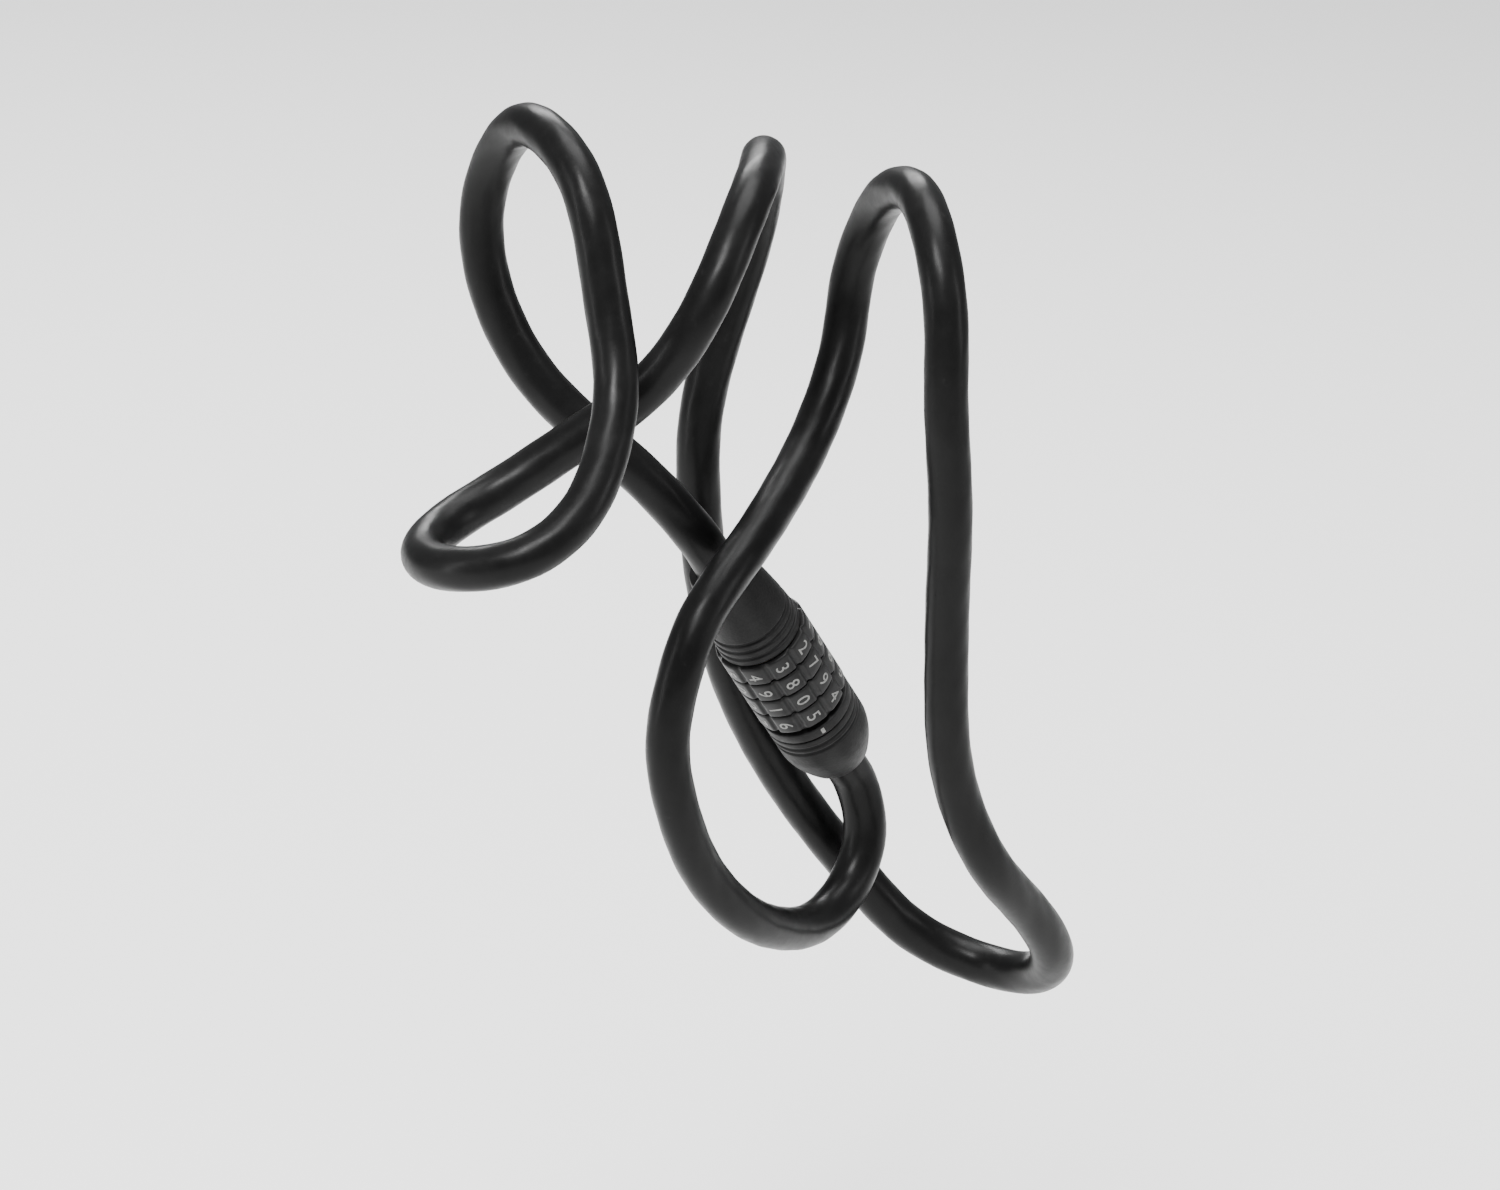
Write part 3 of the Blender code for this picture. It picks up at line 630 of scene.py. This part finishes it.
def block(low, high, bevel):
    """A box between two corners in the head's frame, mm, with rounded edges."""
    size = [(b - a) * MM for a, b in zip(low, high)]
    middle = [(a + b) / 2 * MM for a, b in zip(low, high)]
    body = bmesh.new()
    bmesh.ops.create_cube(body, size=1.0)
    bmesh.ops.scale(body, verts=body.verts, vec=size)
    bmesh.ops.translate(body, verts=body.verts, vec=middle)
    bmesh.ops.bevel(body, geom=body.edges[:], offset=bevel * MM, segments=2, affect="EDGES")
    return finished(body)


def back_rod(radius, station, inner, outer, sides=ROD_STEPS):
    """A rod across the head at a station, from one radius to another on the back."""
    body = bmesh.new()
    bmesh.ops.create_cone(
        body, cap_ends=True, segments=sides,
        radius1=radius * MM, radius2=radius * MM, depth=(outer - inner) * MM,
    )
    middle = Vector((-(inner + outer) / 2 * MM, 0.0, station * MM))
    move = Matrix.Translation(middle) @ Matrix.Rotation(math.radians(-90.0), 4, "Y")
    bmesh.ops.transform(body, matrix=move, verts=body.verts)
    return finished(body)


def combine(obj, tool_mesh, how):
    """Cut a tool's shape out of a piece, or join it on, for good."""
    tool = linked(bpy.data.objects.new("tool", tool_mesh))
    step = obj.modifiers.new("combine", "BOOLEAN")
    step.operation = how
    step.solver = "EXACT"
    step.object = tool
    graph = bpy.context.evaluated_depsgraph_get()
    made = bpy.data.meshes.new_from_object(obj.evaluated_get(graph))
    obj.modifiers.clear()
    obj.data = made
    bpy.data.objects.remove(tool, do_unlink=True)


# The cable


def smooth_curve(points, samples=40):
    """Points along the natural cubic spline through the given points."""
    knots = np.array(points, dtype=float)
    count = len(knots)
    spans = np.sqrt(np.linalg.norm(np.diff(knots, axis=0), axis=1))
    system = np.zeros((count, count))
    right = np.zeros((count, 3))
    system[0, 0] = 1.0
    system[-1, -1] = 1.0
    for i in range(1, count - 1):
        system[i, i - 1] = spans[i - 1]
        system[i, i] = 2.0 * (spans[i - 1] + spans[i])
        system[i, i + 1] = spans[i]
        rise = (knots[i + 1] - knots[i]) / spans[i]
        fall = (knots[i] - knots[i - 1]) / spans[i - 1]
        right[i] = 6.0 * (rise - fall)
    bends = np.linalg.solve(system, right)
    curve = []
    for i in range(count - 1):
        span = spans[i]
        for step in range(samples):
            after = step / samples * span
            before = span - after
            point = (bends[i] * before ** 3 + bends[i + 1] * after ** 3) / (6.0 * span)
            point += (knots[i] / span - bends[i] * span / 6.0) * before
            point += (knots[i + 1] / span - bends[i + 1] * span / 6.0) * after
            curve.append(point)
    curve.append(knots[-1])
    return np.array(curve)


def cable_path():
    """Evenly spaced points along the cable's centreline from face to face, metres."""
    knots = [ENTRY - AXIS * lead * MM for lead in CABLE_LEADS]
    knots += [Vector(point) for point in ROUTE]
    knots += [LEAVE + AXIS * lead * MM for lead in reversed(CABLE_LEADS)]
    curve = smooth_curve([tuple(knot) for knot in knots])
    curve = np.vstack([np.array(ENTRY)[None], curve, np.array(LEAVE)[None]])
    steps = np.linalg.norm(np.diff(curve, axis=0), axis=1)
    travelled = np.concatenate([[0.0], np.cumsum(steps)])
    count = int(travelled[-1] / (CABLE_RING * MM)) + 1
    even = np.linspace(0.0, travelled[-1], count)
    path = np.stack([np.interp(even, travelled, curve[:, i]) for i in range(3)], axis=1)
    return path, travelled[-1]


def cable(paint):
    """The sleeve: a long tube whose skin shows the lay of the strands inside."""
    path, length = cable_path()
    tangents = np.gradient(path, axis=0)
    tangents /= np.linalg.norm(tangents, axis=1)[:, None]
    side = np.cross(tangents[0], (0.0, 0.0, 1.0))
    spacing = length / (len(path) - 1)
    body = bmesh.new()
    rings = []
    for i, (point, ahead) in enumerate(zip(path, tangents)):
        side = side - ahead * np.dot(side, ahead)
        side /= np.linalg.norm(side)
        other = np.cross(ahead, side)
        twist = STRANDS * 2 * math.pi * i * spacing / (STRAND_LAY * MM)
        ring = []
        for k in range(CABLE_SIDES):
            angle = 2 * math.pi * k / CABLE_SIDES
            relief = STRAND_RELIEF * (math.cos(STRANDS * angle - twist) - 1.0)
            radius = (CABLE_DIAMETER / 2 + relief) * MM
            across = side * math.cos(angle) + other * math.sin(angle)
            ring.append(body.verts.new(tuple(point + across * radius)))
        rings.append(ring)
    joined_rings(body, rings, around=False)
    body.faces.new(list(reversed(rings[0])))
    body.faces.new(rings[-1])
    mesh = finished(body, Matrix.Identity(4))
    obj = piece("cable_sleeve", mesh, paint, None, "cable", sharp=50.0)
    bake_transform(obj)
    print("cable length", round(length, 4))


# The head's pieces


def grip_grooves(edge, middles):
    """Shallow grooves round a cap, each at its middle station, on the outline edge()."""
    points = []
    for middle in middles:
        low, high = middle - GRIP_HALF_WIDTH, middle + GRIP_HALF_WIDTH
        floor_radius = edge(middle) - GRIP_DEPTH
        points.append((edge(low), low))
        points.append((floor_radius, middle - GRIP_FLOOR_HALF))
        points.append((floor_radius, middle + GRIP_FLOOR_HALF))
        points.append((edge(high), high))
    return points


def cap_edge(station):
    """The entry cap's outer radius at a station."""
    rise = 1.0 - (1.0 - station / CAP_LENGTH) ** CAP_ROUNDNESS
    return CAP_TIP_RADIUS + (CAP_RADIUS - CAP_TIP_RADIUS) * rise


def plug_edge(station):
    """The plug cap's outer radius at a station."""
    share = max(0.0, (station - PLUG_TAPER_START) / (HEAD_LENGTH - PLUG_TAPER_START))
    return PLUG_CAP_RADIUS - (PLUG_CAP_RADIUS - PLUG_TAIL_RADIUS) * share ** PLUG_ROUNDNESS


def entry_cap(paint):
    """The tapered cap: a rounded taper with three grip grooves at its wide end."""
    steps = range(ENTRY_TAPER_STEPS + 1)
    taper = [ENTRY_TAPER_END * step / ENTRY_TAPER_STEPS for step in steps]
    profile = [(MOUTH_RADIUS, 0.0)]
    profile += [(cap_edge(station), station) for station in taper]
    profile += grip_grooves(cap_edge, ENTRY_GROOVES)
    profile += [(CAP_RADIUS, CAP_LENGTH), (CAP_COUNTERBORE, CAP_LENGTH)]
    profile += [(CAP_COUNTERBORE, CAP_STEP), (RUNNING_BORE, CAP_STEP)]
    profile += [(RUNNING_BORE, MOUTH_END), (MOUTH_RADIUS, MOUTH_END)]
    mesh = lathe(rounded(profile, CAP_ROUNDING))
    obj = piece("entry_cap_shell", mesh, paint, "root", "entry_cap")
    hole = back_rod(SCREW_RADIUS + GAP, ENTRY_SCREW, SCREW_INNER, SCREW_HOLE_OUTER)
    combine(obj, hole, "DIFFERENCE")


def front_collar(paint):
    """The collar next to the last dial, with a step for the circlip behind it."""
    profile = [
        (COLLAR_RADIUS, COLLAR_START), (COLLAR_RADIUS, COLLAR_END),
        (COUNTERBORE_RADIUS, COLLAR_END), (COUNTERBORE_RADIUS, CIRCLIP_STEP),
        (RUNNING_BORE, CIRCLIP_STEP), (RUNNING_BORE, COLLAR_START),
    ]
    mesh = lathe(rounded(profile, COLLAR_ROUNDING))
    piece("front_collar_ring", mesh, paint, "root", "front_collar")


def plug_cap(paint):
    """The plug's cap: grip grooves, then a rounded shoulder down to the cable."""
    groove = PLUG_CAP_START + SEAL_GROOVE_DEPTH
    step_station = PLUG_FLANGE_END + GAP
    steps = range(PLUG_TAPER_STEPS + 1)
    taper_length = HEAD_LENGTH - PLUG_TAPER_START
    taper = [PLUG_TAPER_START + taper_length * step / PLUG_TAPER_STEPS for step in steps]
    profile = [(SEAL_GROOVE_OUTER, groove), (SEAL_GROOVE_OUTER, PLUG_CAP_START)]
    profile += [(PLUG_CAP_RADIUS, PLUG_CAP_START)]
    profile += grip_grooves(plug_edge, PLUG_GROOVES)
    profile += [(plug_edge(station), station) for station in taper]
    profile += [(MOUTH_RADIUS, HEAD_LENGTH), (MOUTH_RADIUS, PLUG_MOUTH_START)]
    profile += [(RUNNING_BORE, PLUG_MOUTH_START), (RUNNING_BORE, step_station)]
    profile += [(COUNTERBORE_RADIUS, step_station), (COUNTERBORE_RADIUS, PLUG_CAP_START)]
    profile += [(SEAL_GROOVE_INNER, PLUG_CAP_START), (SEAL_GROOVE_INNER, groove)]
    mesh = lathe(rounded(profile, PLUG_CAP_ROUNDING))
    obj = piece("plug_cap_shell", mesh, paint, "plug", "plug_cap")
    hole = back_rod(SCREW_RADIUS + GAP, PLUG_SCREW, SCREW_INNER, SCREW_HOLE_OUTER)
    combine(obj, hole, "DIFFERENCE")


def dial_profile():
    """A dial's section as (radius, height, share of the finger groove's depth)."""
    low = []
    for step in range(RIM_STEPS + 1):
        angle = math.pi / 2 * step / RIM_STEPS
        radius = DIAL_RADIUS - RIM_CORNER + RIM_CORNER * math.sin(angle)
        low.append((radius, RIM_CORNER * (1 - math.cos(angle)), 1.0))
    high = [(radius, DIAL_WIDTH - height, share) for radius, height, share in reversed(low)]
    flat = [(DIAL_RADIUS, DIAL_WIDTH * part, 1.0) for part in RIM_SHARES]
    inner_low = [(DIAL_BORE, 0.0, 0.0), (DIAL_SHOULDER, 0.0, 0.0)]
    inner_high = [(DIAL_SHOULDER, DIAL_WIDTH, 0.0), (DIAL_BORE, DIAL_WIDTH, 0.0)]
    return inner_low + low + flat + high + inner_high


def dial_mesh(station):
    """A digit wheel: ten faces with a finger groove between them and rounded rims."""
    pitch = 360.0 / DIGITS
    body = bmesh.new()
    rings = []
    for segment in range(DIAL_STEPS):
        degrees = 360.0 * segment / DIAL_STEPS
        off = min(abs(degrees % pitch - pitch / 2) / FINGER_GROOVE_HALF, 1.0)
        groove = FINGER_GROOVE_DEPTH * math.cos(off * math.pi / 2) ** 2
        turn = math.radians(degrees)
        across = Vector((math.cos(turn), math.sin(turn), 0.0))
        rings.append([
            body.verts.new((across * (radius - groove * share) + up(station + height)) * MM)
            for radius, height, share in dial_profile()
        ])
    joined_rings(body, rings)
    return finished(body)


def digit_mesh(digit):
    """A digit as a thin solid, flat in XY, mm."""
    text = bpy.data.curves.new("digit", "FONT")
    text.body = str(digit)
    text.size = DIGIT_SIZE
    text.extrude = DIGIT_PROUD
    text.resolution_u = DIGIT_OUTLINE_STEPS
    holder = linked(bpy.data.objects.new("digit", text))
    graph = bpy.context.evaluated_depsgraph_get()
    mesh = bpy.data.meshes.new_from_object(holder.evaluated_get(graph))
    bpy.data.objects.remove(holder, do_unlink=True)
    return mesh


def wrapped_digit(digit, turn, middle):
    """A digit bent round a dial at an angle, centred on a station."""
    body = bmesh.new()
    body.from_mesh(digit_mesh(digit))
    bmesh.ops.remove_doubles(body, verts=body.verts, dist=DIGIT_MERGE)
    across = [vert.co.x for vert in body.verts]
    upright = [vert.co.y for vert in body.verts]
    centre = Vector((min(across) + max(across), min(upright) + max(upright), 0.0)) / 2
    bmesh.ops.translate(body, verts=body.verts, vec=-centre)
    for slice_step in DIGIT_SLICES:
        geometry = body.verts[:] + body.edges[:] + body.faces[:]
        spot = (0.0, slice_step * DIGIT_SLICE_WIDTH, 0.0)
        bmesh.ops.bisect_plane(body, geom=geometry, plane_co=spot, plane_no=(0.0, 1.0, 0.0))
    for vert in body.verts:
        angle = turn - vert.co.y / DIAL_RADIUS
        reach = (DIAL_RADIUS + vert.co.z) * MM
        station = (middle + vert.co.x) * MM
        vert.co = (reach * math.cos(angle), reach * math.sin(angle), station)
    mesh = bpy.data.meshes.new("wrapped")
    body.to_mesh(mesh)
    body.free()
    return mesh


def digits(index, paint):
    """Ten digits wrapped on a dial, read along the head, with the code at the index."""
    middle = DIAL_START + DIAL_PITCH * index + DIAL_WIDTH / 2
    joined = bmesh.new()
    for place in range(DIGITS):
        turn = 2 * math.pi * place / DIGITS
        joined.from_mesh(wrapped_digit((CODE[index] + place) % DIGITS, turn, middle))
    name = "dial_%d" % (index + 1)
    mesh = finished(joined)
    piece(name + "_digits", mesh, paint, name + "_wheel", sharp=40.0)


def dials(paint, ink):
    """The four digit wheels, each with its digits."""
    for index in range(DIAL_COUNT):
        name = "dial_%d" % (index + 1)
        mesh = dial_mesh(DIAL_START + DIAL_PITCH * index)
        piece(name + "_rim", mesh, paint, name + "_wheel", name, sharp=50.0)
        digits(index, ink)


def index_mark(ink):
    """A short painted line on the collar, in line with the code."""
    low_radius = COLLAR_RADIUS - INDEX_HALF_THICKNESS
    high_radius = COLLAR_RADIUS + INDEX_HALF_THICKNESS
    low = (low_radius, -INDEX_HALF_WIDTH, COLLAR_START + INDEX_MARGIN)
    high = (high_radius, INDEX_HALF_WIDTH, COLLAR_END - INDEX_MARGIN)
    mesh = block(low, high, INDEX_BEVEL)
    piece("index_mark_collar", mesh, ink, "root")


def plug_spigot(paint):
    """The plug's steel spigot, with its teeth, flange and cup."""
    profile = [
        (0.0, SPIGOT_START), (SPIGOT_RADIUS - SPIGOT_CHAMFER, SPIGOT_START),
        (SPIGOT_RADIUS, SPIGOT_START + SPIGOT_CHAMFER_LENGTH),
        (SPIGOT_RADIUS, PLUG_FLANGE_START),
        (FLANGE_RADIUS, PLUG_FLANGE_START), (FLANGE_RADIUS, PLUG_FLANGE_END),
        (SHANK_RADIUS, PLUG_FLANGE_END), (SHANK_RADIUS, PLUG_SHANK_END),
        (CUP_RADIUS, PLUG_SHANK_END), (CUP_RADIUS, PLUG_CUP_START), (0.0, PLUG_CUP_START),
    ]
    outline = [point for point in rounded(profile, SPIGOT_ROUNDING) if point[0] >= 0.0]
    mesh = lathe(outline, SPIGOT_STEPS)
    obj = piece("plug_spigot", mesh, paint, "plug", "plug_body")
    half = TOOTH_WIDTH / 2
    for index in range(DIAL_COUNT):
        start = DIAL_START + DIAL_PITCH * index + TOOTH_OFFSET
        low = (TOOTH_ROOT, -half, start)
        high = (TOOTH_REACH, half, start + TOOTH_WIDTH)
        combine(obj, block(low, high, TOOTH_BEVEL), "UNION")


def spring_height(station):
    """The leaf spring's outer height at a station: level, with a bump for each dial."""
    first = DIAL_START + SPRING_BUMP_OFFSET
    off = min(abs(station - first - DIAL_PITCH * index) for index in range(DIAL_COUNT))
    slope = math.cos(min(1.0, off / SPRING_BUMP_REACH) * math.pi / 2)
    return SPRING_OUTER + (SPRING_BUMP_TOP - SPRING_OUTER) * slope ** 2


def detent_spring(paint):
    """The leaf spring in the barrel's groove, with one bump under each gate ring."""
    body = bmesh.new()
    rings = []
    for step in range(SPRING_STEPS + 1):
        share = step / SPRING_STEPS
        station = SPRING_START + (SPRING_END - SPRING_START) * share
        outer = spring_height(station)
        inner = outer - SPRING_THICKNESS
        corners = [
            (-outer, -SPRING_HALF_WIDTH), (-outer, SPRING_HALF_WIDTH),
            (-inner, SPRING_HALF_WIDTH), (-inner, -SPRING_HALF_WIDTH),
        ]
        rings.append([body.verts.new(Vector((x, y, station)) * MM) for x, y in corners])
    joined_rings(body, rings, around=False)
    body.faces.new(list(reversed(rings[0])))
    body.faces.new(rings[-1])
    mesh = finished(body)
    piece("detent_leaf_spring", mesh, paint, "root", "detent_spring")


def cap_screw(name, station, outer, body, paint):
    """A grub screw at a cap's back, with a hexagon socket."""
    mesh = back_rod(SCREW_RADIUS, station, SCREW_INNER, outer)
    obj = piece(name + "_socket", mesh, paint, body, name)
    bottom = outer - SOCKET_DEPTH
    socket = back_rod(SOCKET_RADIUS, station, bottom, outer + OVERSHOOT, SOCKET_SIDES)
    combine(obj, socket, "DIFFERENCE")


def repaint(nodes, paint):
    """A new material for CAD nodes that are shown as they are."""
    for name in nodes:
        obj = frame["nodes"][name]
        obj.data.materials.clear()
        obj.data.materials.append(paint)


def build():
    camera()
    cable(sleeve_paint())
    studio()
    floor()
    shell = shell_paint()
    ink = digit_paint()
    steel = metal_paint(*TURNED_STEEL)
    brass = metal_paint(*TURNED_BRASS)
    blackened = metal_paint(*BLACKENED_STEEL)
    crimp = metal_paint(*CRIMP_METAL)
    entry_cap(shell)
    front_collar(shell)
    plug_cap(shell)
    dials(dial_paint(), ink)
    index_mark(ink)
    plug_spigot(steel)
    detent_spring(steel)
    cap_screw("entry_cap_screw", ENTRY_SCREW, ENTRY_SCREW_OUTER, "root", blackened)
    cap_screw("plug_cap_screw", PLUG_SCREW, PLUG_SCREW_OUTER, "plug", blackened)
    repaint(["seal_ring", "entry_boot", "plug_boot"], rubber_paint())
    repaint(["barrel"], steel)
    repaint(["thrust_washer", "circlip"], blackened)
    repaint(["gate_ring_%d" % (index + 1) for index in range(DIAL_COUNT)], brass)
    repaint(["entry_ring_nut", "plug_ring_nut"], brass)
    repaint(["entry_ferrule", "plug_ferrule"], crimp)
    repaint(["wire_rope_entry_end", "wire_rope_plug_end"], rope_paint())


build()
